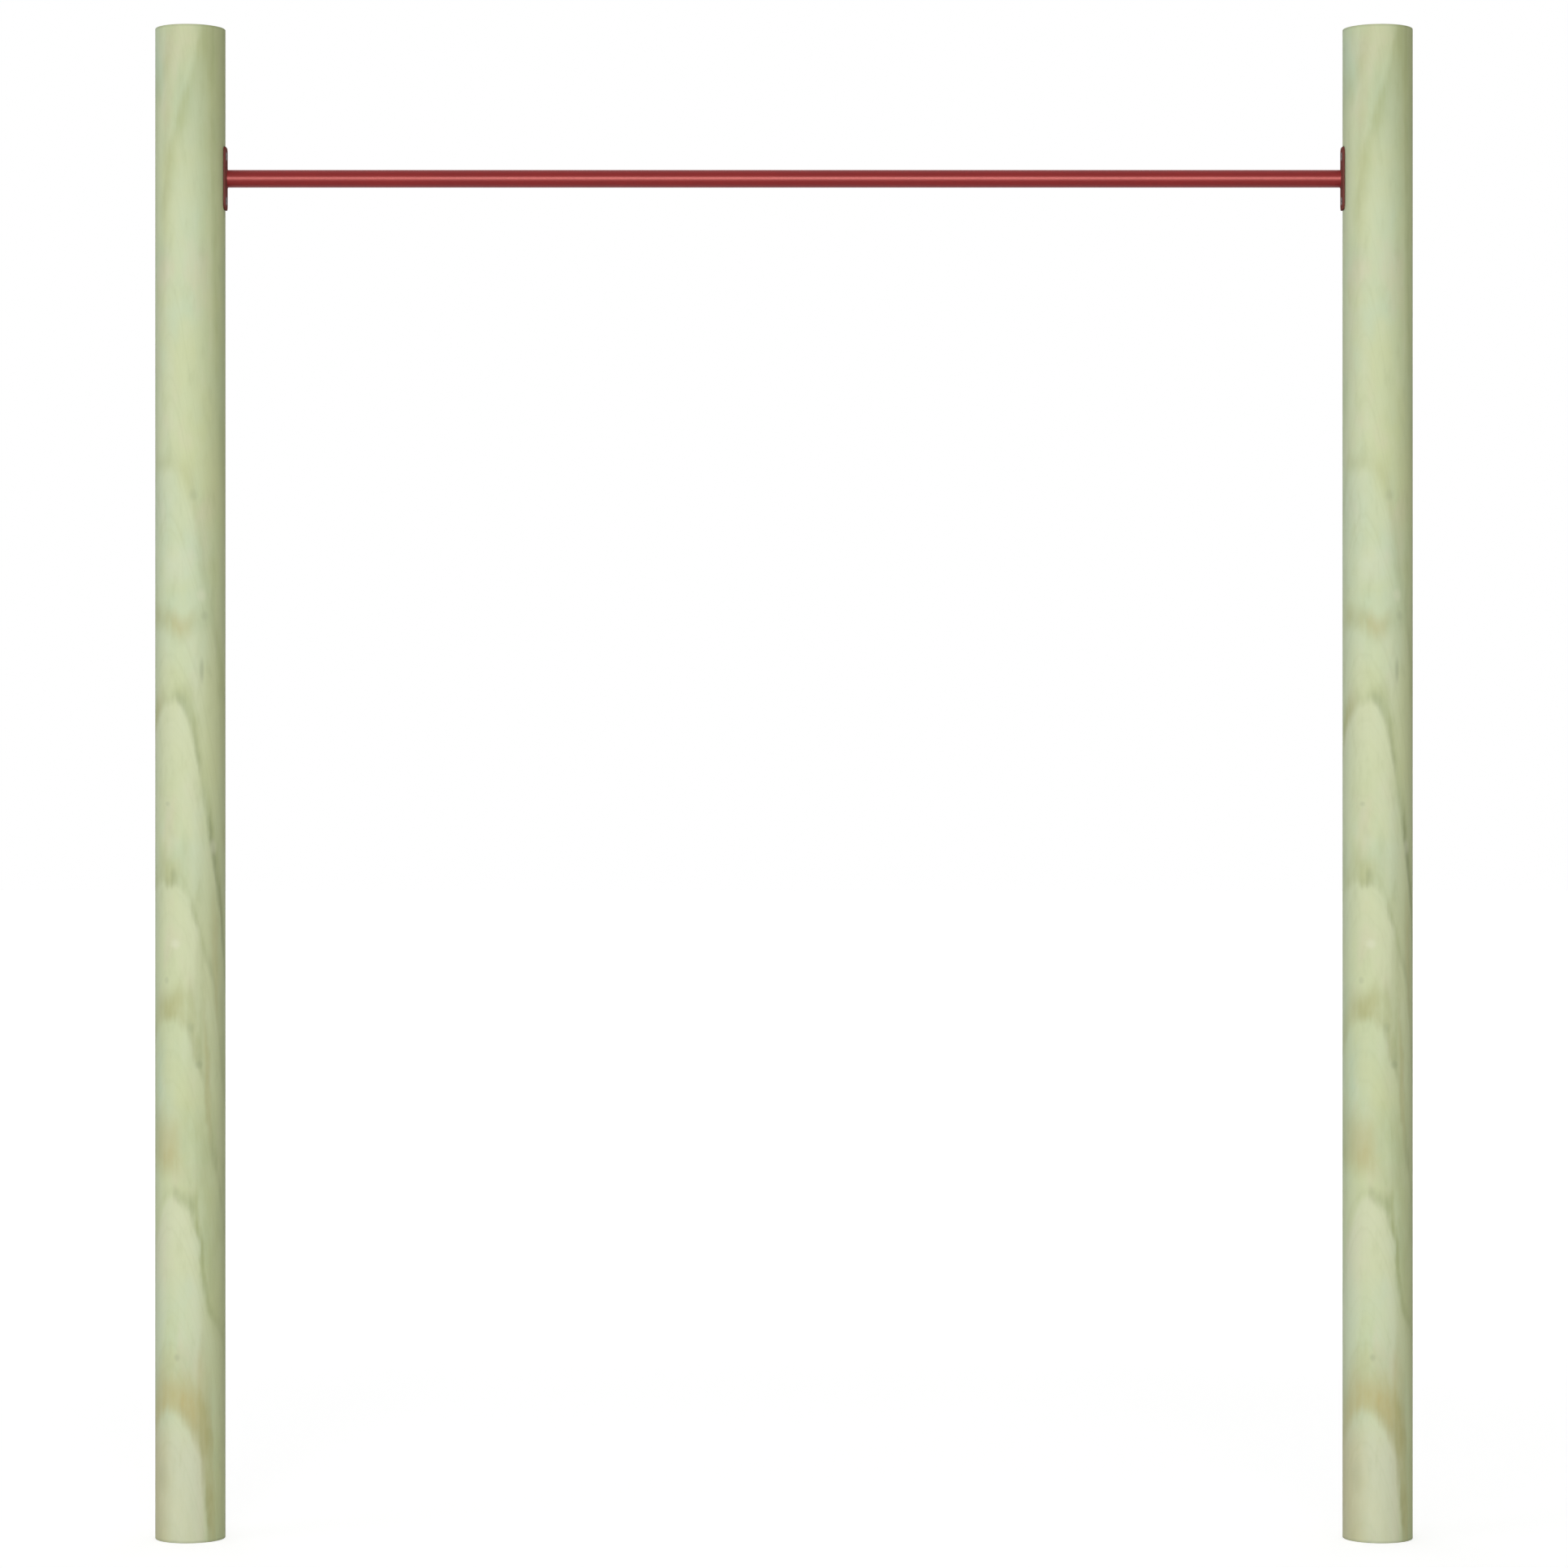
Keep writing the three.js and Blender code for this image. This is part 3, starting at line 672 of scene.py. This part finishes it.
def pine_end():
    """Sawn end grain: rings about an off-centre pith, rays, drying checks and saw marks."""
    material, board = new_material("treated_pine_end")
    across, y, z, _ = post_place(board)
    px, py = across - PITH_ACROSS, y - PITH_BACK
    ripple = board.noise(board.vector(across * 45, y * 45, z * 2), detail=2)
    distance = board.maths("SQRT", px * px + py * py) + ripple * 0.0012
    angle = board.maths("ARCTAN2", px, py)
    ring = board.maths("FRACT", distance / RING_WIDTH + ripple * 0.35)
    late = board.rise(ring, 0.45, 0.93) * board.rise(ring, 1.0, 0.95)
    heart = board.rise(distance, 0.024, 0.012)
    outward = [board.maths(operation, angle) * 26 for operation in ("COSINE", "SINE")]
    rays = board.noise(board.vector(*outward, distance * 60), detail=3)
    dots = board.noise(board.vector(across * 1500, y * 1500, z), detail=2)
    split = board.maths("ABSOLUTE", board.maths("SINE", angle * 1.5 + 0.6))
    check = board.rise(split, 0.05, 0.012)
    check = check * board.rise(distance, 0.034, 0.022) * board.rise(rays, -0.2, 0.2)
    saw = board.maths("SINE", (across * 0.94 + y * 0.34 + ripple * 0.001) * SAW_MARKS)

    colour = board.blend(SAWN_PINE, HEART_WOOD, heart * 0.8)
    colour = board.blend(colour, LATE_WOOD, late * 0.65)
    colour = board.blend(colour, PALE_RAY, board.rise(rays, 0.1, 0.6) * 0.3)
    colour = board.blend(colour, DAMP_PORE, board.rise(dots, 0, 0.7) * 0.3)
    # The checks painted near black: painted shade in the cracks
    colour = board.blend(colour, CHECK_SHADE, check * 0.85)
    height = late * 0.5 + dots * 0.3 + saw * 0.25 - check * 3
    sockets = {
        "Base Color": colour,
        "Roughness": 0.85 + dots * 0.05,
        "Normal": board.bump(height, strength=0.6, distance=0.25 * MM),
        "Specular IOR Level": WOOD_GLOSS,
    }
    coated(board, sockets)
    return material


# Steel

ZINC_BLACK = (0.045, 0.045, 0.05, 1)
ZINC_BLOOM = (0.09, 0.085, 0.08, 1)

# The red coats: deep and light colour, roughness, strength and tint of the gloss
SATIN_RED = dict(
    deep=(0.135, 0.001, 0.002, 1),
    light=(0.155, 0.002, 0.003, 1),
    roughness=0.40,
    gloss=1.0,
    tint=(1, 0.36, 0.34, 1),
)
# Plates: the bar's red, darkened as painted shade for the edge-on plates, browner and less glossy
SHADED_DULL_RED = dict(
    deep=(0.110, 0.024, 0.019, 1),
    light=(0.134, 0.030, 0.024, 1),
    roughness=0.55,
    gloss=0.2,
    tint=(1, 0.6, 0.55, 1),
)


def red_coat(name, deep, light, roughness, gloss, tint):
    """Red coat with a slight cloudiness and a faint orange peel."""
    material, board = new_material(name)
    x, y, z = board.parts(board.place())
    peel = board.noise(board.vector(x * 600, y * 600, z * 600), detail=1)
    cloud = board.noise(board.vector(x * 9, y * 40, z * 40), detail=3)
    facing = board.add("ShaderNodeLayerWeight", {}, {"Blend": 0.35}, out="Facing")
    sockets = {
        "Base Color": board.blend(deep, light, board.rise(cloud, -0.5, 0.5)),
        "Roughness": roughness + cloud * 0.015 + board.rise(facing, 0.3, 0.9) * 0.4,
        "Normal": board.bump(peel, strength=0.05, distance=0.02 * MM),
        "Specular IOR Level": gloss,
        "Specular Tint": tint,
    }
    coated(board, sockets)
    return material


def black_zinc():
    """Black zinc plate with a faint bloom and fine turning marks."""
    material, board = new_material("black_zinc_plate")
    x, y, z = board.parts(board.place())
    cloud = board.noise(board.vector(x * 250, y * 250, z * 250), detail=3)
    fine = board.noise(board.vector(x * 2400, y * 2400, z * 2400), detail=2)
    sockets = {
        "Base Color": board.blend(ZINC_BLACK, ZINC_BLOOM, board.rise(cloud, -0.2, 0.6)),
        "Metallic": 1.0,
        "Roughness": 0.42 + cloud * 0.06 + fine * 0.03,
        "Normal": board.bump(fine, strength=0.3, distance=0.02 * MM),
    }
    coated(board, sockets)
    return material


# Shapes


def pilot_outline():
    """Up the outside of the space that a screw takes, with its head's top at zero."""
    pilot = THREAD_RADIUS + FIT_GAP
    mouth = HEAD_RADIUS + FIT_GAP
    land = HEAD_LAND + FIT_GAP
    bottom = SCREW_LENGTH + PILOT_OVERDEPTH
    return [
        (0, -bottom - pilot / 2),
        (pilot, -bottom),
        (pilot, pilot - mouth - land),
        (mouth, -land),
        (mouth, CUT_OVERRUN),
        (0, CUT_OVERRUN),
    ]


def post_recipe(face, end):
    """A machine-rounded post with eased ends, a milled seat and two pilot holes."""
    sides, rows, arris_rows = 160, 216, 4
    sizes = {
        "Length": POST_LENGTH,
        "Radius": POST_RADIUS,
        "Arris": 1.2 * MM,
        "Waviness": 0.25 * MM,
        "Seat Reach": SEAT_REACH,
        "Seat Height": 2 * (PLATE_HALF_HEIGHT + SEAT_END_MARGIN),
        "Bar Height": BAR_HEIGHT,
        "Post Side": -1,
    }
    recipe = Recipe("round_post", sizes)
    length, radius, arris = recipe["Length"], recipe["Radius"], recipe["Arris"]
    rod = {
        "Vertices": sides,
        "Side Segments": rows,
        "Fill Segments": 8,
        "Radius": radius,
        "Depth": length,
    }
    rod = recipe.add("GeometryNodeMeshCylinder", {"fill_type": "TRIANGLE_FAN"}, rod)
    x, y, z = recipe.place_of_points()
    row = length / rows
    upper = z > 0
    from_end = length / 2 - recipe.maths("ABSOLUTE", z)
    share = recipe.maths("MINIMUM", from_end / row / arris_rows, 1)
    near = from_end < (row * (arris_rows + 0.5))
    eased = arris * (1 - recipe.maths("COSINE", share * pi / 2))
    drop = near * eased + (1 - near) * from_end
    height = upper * (length - drop) + (1 - upper) * drop
    pinch = arris * (1 - recipe.maths("SINE", share * pi / 2))
    sway = recipe.noise(recipe.vector(x * 25, y * 25, z * 3), detail=2)  # drawn out up the post
    slack = (sway * 0.5 + 0.5) * recipe["Waviness"]
    scale = 1 - (pinch + slack) / radius
    rod = recipe.moved(rod, x * scale, y * scale, height)

    seat = 10 * MM
    block = {"Size": recipe.vector(seat, radius * 3, recipe["Seat Height"])}
    block = recipe.add("GeometryNodeMeshCube", {}, block)
    shift = recipe.vector(recipe["Seat Reach"] + seat / 2, 0, recipe["Bar Height"])
    block = recipe.shifted(block, shift=shift)
    pilots = []
    for offset in (SCREW_OFFSET, -SCREW_OFFSET):
        pilot = recipe.turned(pilot_outline(), 24)
        shift = recipe.vector(PLATE_FACE, 0, recipe["Bar Height"] + offset)
        pilots.append(recipe.shifted(pilot, shift=shift, turn=(0, pi / 2, 0)))
    return recipe.finish(recipe.cut(rod, block, *pilots), face, end)


def plate_blank():
    """The flange's plate as a mesh: a rounded oblong with softened edges, its back at zero."""
    soft = 0.5 * MM
    steps = 8
    bends = [radians(30 * k) for k in range(4)]
    layers = [(soft * (1 - sin(bend)), soft * (1 - cos(bend))) for bend in bends]
    layers += [(inset, PLATE_THICKNESS - height) for inset, height in reversed(layers)]
    corners = [(1, 1), (-1, 1), (-1, -1), (1, -1)]
    points, faces = [], []
    for inset, height in layers:
        radius = PLATE_CORNER - inset
        for quarter, (sx, sy) in enumerate(corners):
            for step in range(steps + 1):
                turn = (quarter + step / steps) * pi / 2
                x = sx * (PLATE_HALF_WIDTH - PLATE_CORNER) + radius * cos(turn)
                y = sy * (PLATE_HALF_HEIGHT - PLATE_CORNER) + radius * sin(turn)
                points.append((x, y, height))
    loop = 4 * (steps + 1)
    for layer in range(len(layers) - 1):
        for k in range(loop):
            a, b = layer * loop + k, layer * loop + (k + 1) % loop
            faces.append((a, b, b + loop, a + loop))
    faces.append(tuple(reversed(range(loop))))
    faces.append(tuple(range((len(layers) - 1) * loop, len(layers) * loop)))
    mesh = bpy.data.meshes.new("plate_blank")
    mesh.from_pydata(points, [], faces)
    return mesh


def flange_recipe(paint):
    """Lays the rippled weld bead on a plate blank, bores it for its screws and stands it up."""
    sizes = {
        "Tube Radius": TUBE_RADIUS,
        "Leg": WELD_LEG,
        "Thickness": PLATE_THICKNESS,
        "Crown": 0.35 * MM,
        "Ripple": 0.16 * MM,
        "Ripples": 46,
        "Screw Offset": SCREW_OFFSET,
        "Bar Height": BAR_HEIGHT,
        "Post Side": -1,
    }
    recipe = Recipe("welded_flange", sizes, takes_blank=True)
    tube, leg, thickness = recipe["Tube Radius"], recipe["Leg"], recipe["Thickness"]
    crown_rows = 9
    slant = 0.7071  # along each leg, for a rise square to the bead's face
    grid, around, along = recipe.sheet(369, crown_rows + 3)
    angle = around * 2 * pi
    row = recipe.maths("ROUND", along * (crown_rows + 2))
    share = recipe.maths("MAXIMUM", recipe.maths("MINIMUM", (row - 1) / (crown_rows - 1), 1), 0)
    belly = recipe.maths("SINE", share * pi)
    lag = (share * 2 - 1) * (share * 2 - 1) * 1.6
    beat = recipe.maths("SINE", angle * recipe["Ripples"] + lag) * 0.5 + 0.5
    bulge = belly * (recipe["Crown"] + recipe["Ripple"] * beat) * slant
    buried = 0.3 * MM
    closed = row > (crown_rows + 0.5)
    first = row < 0.5
    on_root = recipe.maths("MAXIMUM", closed, first)
    outer = tube + leg * (1 - share) + bulge
    rise = thickness + leg * share + bulge
    radius = outer * (1 - on_root) + (tube - buried) * on_root
    height = rise * (1 - on_root) + on_root * thickness * 0.5
    x = radius * recipe.maths("COSINE", angle)
    y = radius * recipe.maths("SINE", angle)
    bead = recipe.welded(recipe.moved(grid, x, y, height))
    body = recipe.cut(recipe.blank, bead, operation="UNION")
    bores = []
    for side in (1, -1):
        bore = recipe.turned(pilot_outline(), 48)
        shift = recipe.vector(0, recipe["Screw Offset"] * side, thickness)
        bores.append(recipe.shifted(bore, shift=shift))
    body = recipe.cut(body, *bores)
    body = recipe.shifted(body, turn=(pi / 2, 0, 0))
    body = recipe.shifted(body, turn=(0, 0, pi / 2))
    shift = recipe.vector(PLATE_BACK, 0, recipe["Bar Height"])
    return recipe.finish(recipe.shifted(body, shift=shift), paint)


def screw_recipe(plating):
    """A countersunk wood screw with a six-lobed socket and a thread that winds to its point."""
    sizes = {
        "Length": SCREW_LENGTH,
        "Head Radius": HEAD_RADIUS,
        "Land": HEAD_LAND,
        "Shank Radius": SHANK_RADIUS,
        "Core Radius": CORE_RADIUS,
        "Thread Radius": THREAD_RADIUS,
        "Thread Length": THREAD_LENGTH,
        "Thread Pitch": THREAD_PITCH,
        "Point Length": POINT_LENGTH,
        "Drive Depth": DRIVE_DEPTH,
        "Height": BAR_HEIGHT,
        "Post Side": -1,
    }
    recipe = Recipe("wood_screw", sizes)
    length, head, land = recipe["Length"], recipe["Head Radius"], recipe["Land"]
    shank, core = recipe["Shank Radius"], recipe["Core Radius"]
    thread_top = recipe["Thread Length"] - length
    cone_bottom = shank - head - land
    soft = 0.12 * MM
    outline = [
        (0, -length),
        (POINT_RADIUS, -length),
        (core, recipe["Point Length"] - length),
        (core, thread_top),
        (shank, thread_top + 0.3 * MM),
        (shank, cone_bottom),
        (head, -land),
        (head, -soft),
        (head - soft, 0),
        (head * 0.9, 0),
        (0, 0),
    ]
    body = recipe.turned(outline, 64)

    turns = (recipe["Thread Length"] - recipe["Point Length"] * 0.6) / recipe["Thread Pitch"]
    helix = {
        "Resolution": 20,
        "Rotations": turns,
        "Start Radius": core,
        "End Radius": core,
        "Height": turns * recipe["Thread Pitch"],
    }
    helix = recipe.add("GeometryNodeCurveSpiral", {}, helix)
    helix = recipe.add("GeometryNodeSetCurveNormal", {"mode": "Z_UP"}, {"Curve": helix})
    ridge = {"Resolution": 4, "Radius": recipe["Thread Radius"] - core}
    ridge = recipe.add("GeometryNodeCurvePrimitiveCircle", {}, ridge)
    x, y, _ = recipe.place_of_points()
    ridge = recipe.moved(ridge, x, y * 0.6, 0)
    thread = {"Curve": helix, "Profile Curve": ridge, "Fill Caps": True}
    thread = recipe.add("GeometryNodeCurveToMesh", {}, thread)
    bottom = recipe.vector(0, 0, recipe["Point Length"] * 0.75 - length)
    thread = recipe.shifted(thread, shift=bottom)
    body = recipe.cut(body, thread, operation="UNION")

    star = recipe.add("GeometryNodeCurvePrimitiveCircle", {}, {"Resolution": 72, "Radius": 1})
    x, y, _ = recipe.place_of_points()
    lobes = recipe.maths("COSINE", recipe.maths("ARCTAN2", y, x) * 6)
    middle = (DRIVE_LOBE_RADIUS + DRIVE_FLUTE_RADIUS) / 2
    reach = middle + lobes * ((DRIVE_LOBE_RADIUS - DRIVE_FLUTE_RADIUS) / 2)
    star = recipe.moved(star, x * reach, y * reach, 0)
    shaft = {"Start": recipe.vector(0, 0, -recipe["Drive Depth"]), "End": (0, 0, 1 * MM)}
    shaft = recipe.add("GeometryNodeCurvePrimitiveLine", {}, shaft)
    shaft = {"Curve": shaft, "Profile Curve": star, "Fill Caps": True}
    socket = recipe.add("GeometryNodeCurveToMesh", {}, shaft)
    body = recipe.cut(body, socket)
    shift = recipe.vector(PLATE_FACE, 0, recipe["Height"])
    return recipe.finish(recipe.shifted(body, shift=shift, turn=(0, pi / 2, 0)), plating)


def bar_recipe(paint):
    """The grip tube, drawn along its axis."""
    sizes = {"Length": TUBE_LENGTH, "Radius": TUBE_RADIUS, "Height": BAR_HEIGHT}
    recipe = Recipe("grip_bar", sizes)
    half = recipe["Length"] / 2
    ends = {
        "Start": recipe.vector(-half, 0, recipe["Height"]),
        "End": recipe.vector(half, 0, recipe["Height"]),
    }
    axis = recipe.add("GeometryNodeCurvePrimitiveLine", {}, ends)
    axis = recipe.add("GeometryNodeResampleCurve", {}, {"Curve": axis, "Count": 61})
    ring = {"Resolution": 96, "Radius": recipe["Radius"]}
    ring = recipe.add("GeometryNodeCurvePrimitiveCircle", {}, ring)
    tube = {"Curve": axis, "Profile Curve": ring}
    return recipe.finish(recipe.add("GeometryNodeCurveToMesh", {}, tube), paint)


# Stage


def make_camera():
    camera = placed("camera", bpy.data.cameras.new("camera"))
    camera.data.sensor_width = 36
    camera.data.lens = CAMERA_LENS
    camera.location = (0, -CAMERA_DISTANCE, CAMERA_HEIGHT)
    camera.rotation_euler = (pi / 2, 0, 0)
    bpy.context.scene.camera = camera


def seen_share(board):
    """1 for what the camera, a reflection or clear material sees, 0 for light on other things."""
    path = board.add("ShaderNodeLightPath", out="Is Camera Ray")
    return path + path.other("Is Glossy Ray") + path.other("Is Transmission Ray")


def make_floor():
    material, board = new_material("pale_floor")
    paint = board.add("ShaderNodeBsdfDiffuse", {}, {"Color": FLOOR_PAINT})
    centre = {0: board.place()}
    away = board.add("ShaderNodeVectorMath", {"operation": "LENGTH"}, centre, out="Value")
    level = board.rise(away, NEAR_FLOOR, FAR_FLOOR) * (FAR_FLOOR_GLOW - FLOOR_GLOW) + FLOOR_GLOW
    glow = {"Color": WHITE, "Strength": seen_share(board) * level}
    glow = board.add("ShaderNodeEmission", {}, glow)
    output(board, board.add("ShaderNodeAddShader", {}, {0: paint, 1: glow}))
    corners = [(-1, -1), (1, -1), (1, 1), (-1, 1)]
    mesh = bpy.data.meshes.new("floor")
    points = [(x * FLOOR_HALF_WIDTH, y * FLOOR_HALF_WIDTH, 0) for x, y in corners]
    mesh.from_pydata(points, [], [(0, 1, 2, 3)])
    mesh.materials.append(material)
    placed("floor", mesh)


def make_light():
    world = bpy.data.worlds.new("studio")
    world.use_nodes = True
    bpy.context.scene.world = world
    board = Board(world.node_tree)
    seen = seen_share(board)
    tint = board.blend(SURROUND_TINT, WHITE, seen)
    level = {"Color": tint, "Strength": seen + (1 - seen) * SURROUND_LEVEL}
    backdrop = board.add("ShaderNodeBackground", {}, level)
    board.add("ShaderNodeOutputWorld", {}, {"Surface": backdrop})

    for name, (place, width, height, power, tint, lit, mirrored) in LAMPS.items():
        lamp = bpy.data.lights.new(name, "AREA")
        lamp.shape = "RECTANGLE"
        lamp.size = width
        lamp.size_y = height
        lamp.energy = power
        lamp.color = tint
        stand = placed(name, lamp)
        stand.location = place
        aim = LAMP_AIM - stand.location
        stand.rotation_euler = aim.to_track_quat("-Z", "Y").to_euler()
        stand.visible_camera = False
        stand.visible_diffuse = lit
        stand.visible_glossy = mirrored

    aside = radians(180 - BACK_FILL_BEARING)
    fills = {
        "back_left_fill": (BACK_FILL, (-pi / 2, 0, aside)),
        "back_right_fill": (BACK_FILL, (-pi / 2, 0, -aside)),
        "top_fill": (TOP_FILL, (0, 0, 0)),
    }
    for name, (energy, turn) in fills.items():
        fill = bpy.data.lights.new(name, "SUN")
        fill.energy = energy
        fill.angle = radians(FILL_SPREAD)
        stand = placed(name, fill)
        stand.rotation_euler = turn
        stand.visible_glossy = False


# Assembly

make_camera()
make_light()
make_floor()
bpy.context.scene.view_settings.view_transform = "Standard"

satin_red = red_coat("satin_red_coat", **SATIN_RED)
shaded_dull_red = red_coat("shaded_dull_red_coat", **SHADED_DULL_RED)
posts = post_recipe(pine_face(), pine_end())
flanges = flange_recipe(shaded_dull_red)
screws = screw_recipe(black_zinc())

for side, sign in (("left", -1), ("right", 1)):
    post = formed(f"pine_post_{side}", posts, {"Post Side": sign})
    settle(post, "treated_pine", f"{side}_post")
    flange = formed(f"welded_flange_{side}", flanges, {"Post Side": sign}, blank=plate_blank())
    settle(flange, "dull_red_paint", f"{side}_flange")
    for place, offset in (("upper", SCREW_OFFSET), ("lower", -SCREW_OFFSET)):
        sizes = {"Post Side": sign, "Height": BAR_HEIGHT + offset}
        screw = formed(f"wood_screw_{side}_{place}", screws, sizes)
        settle(screw, "black_screw", f"{side}_{place}_screw")

bar = formed("grip_bar", bar_recipe(satin_red), {"Length": TUBE_LENGTH}, walls=TUBE_WALL)
settle(bar, "red_paint", "bar_tube")
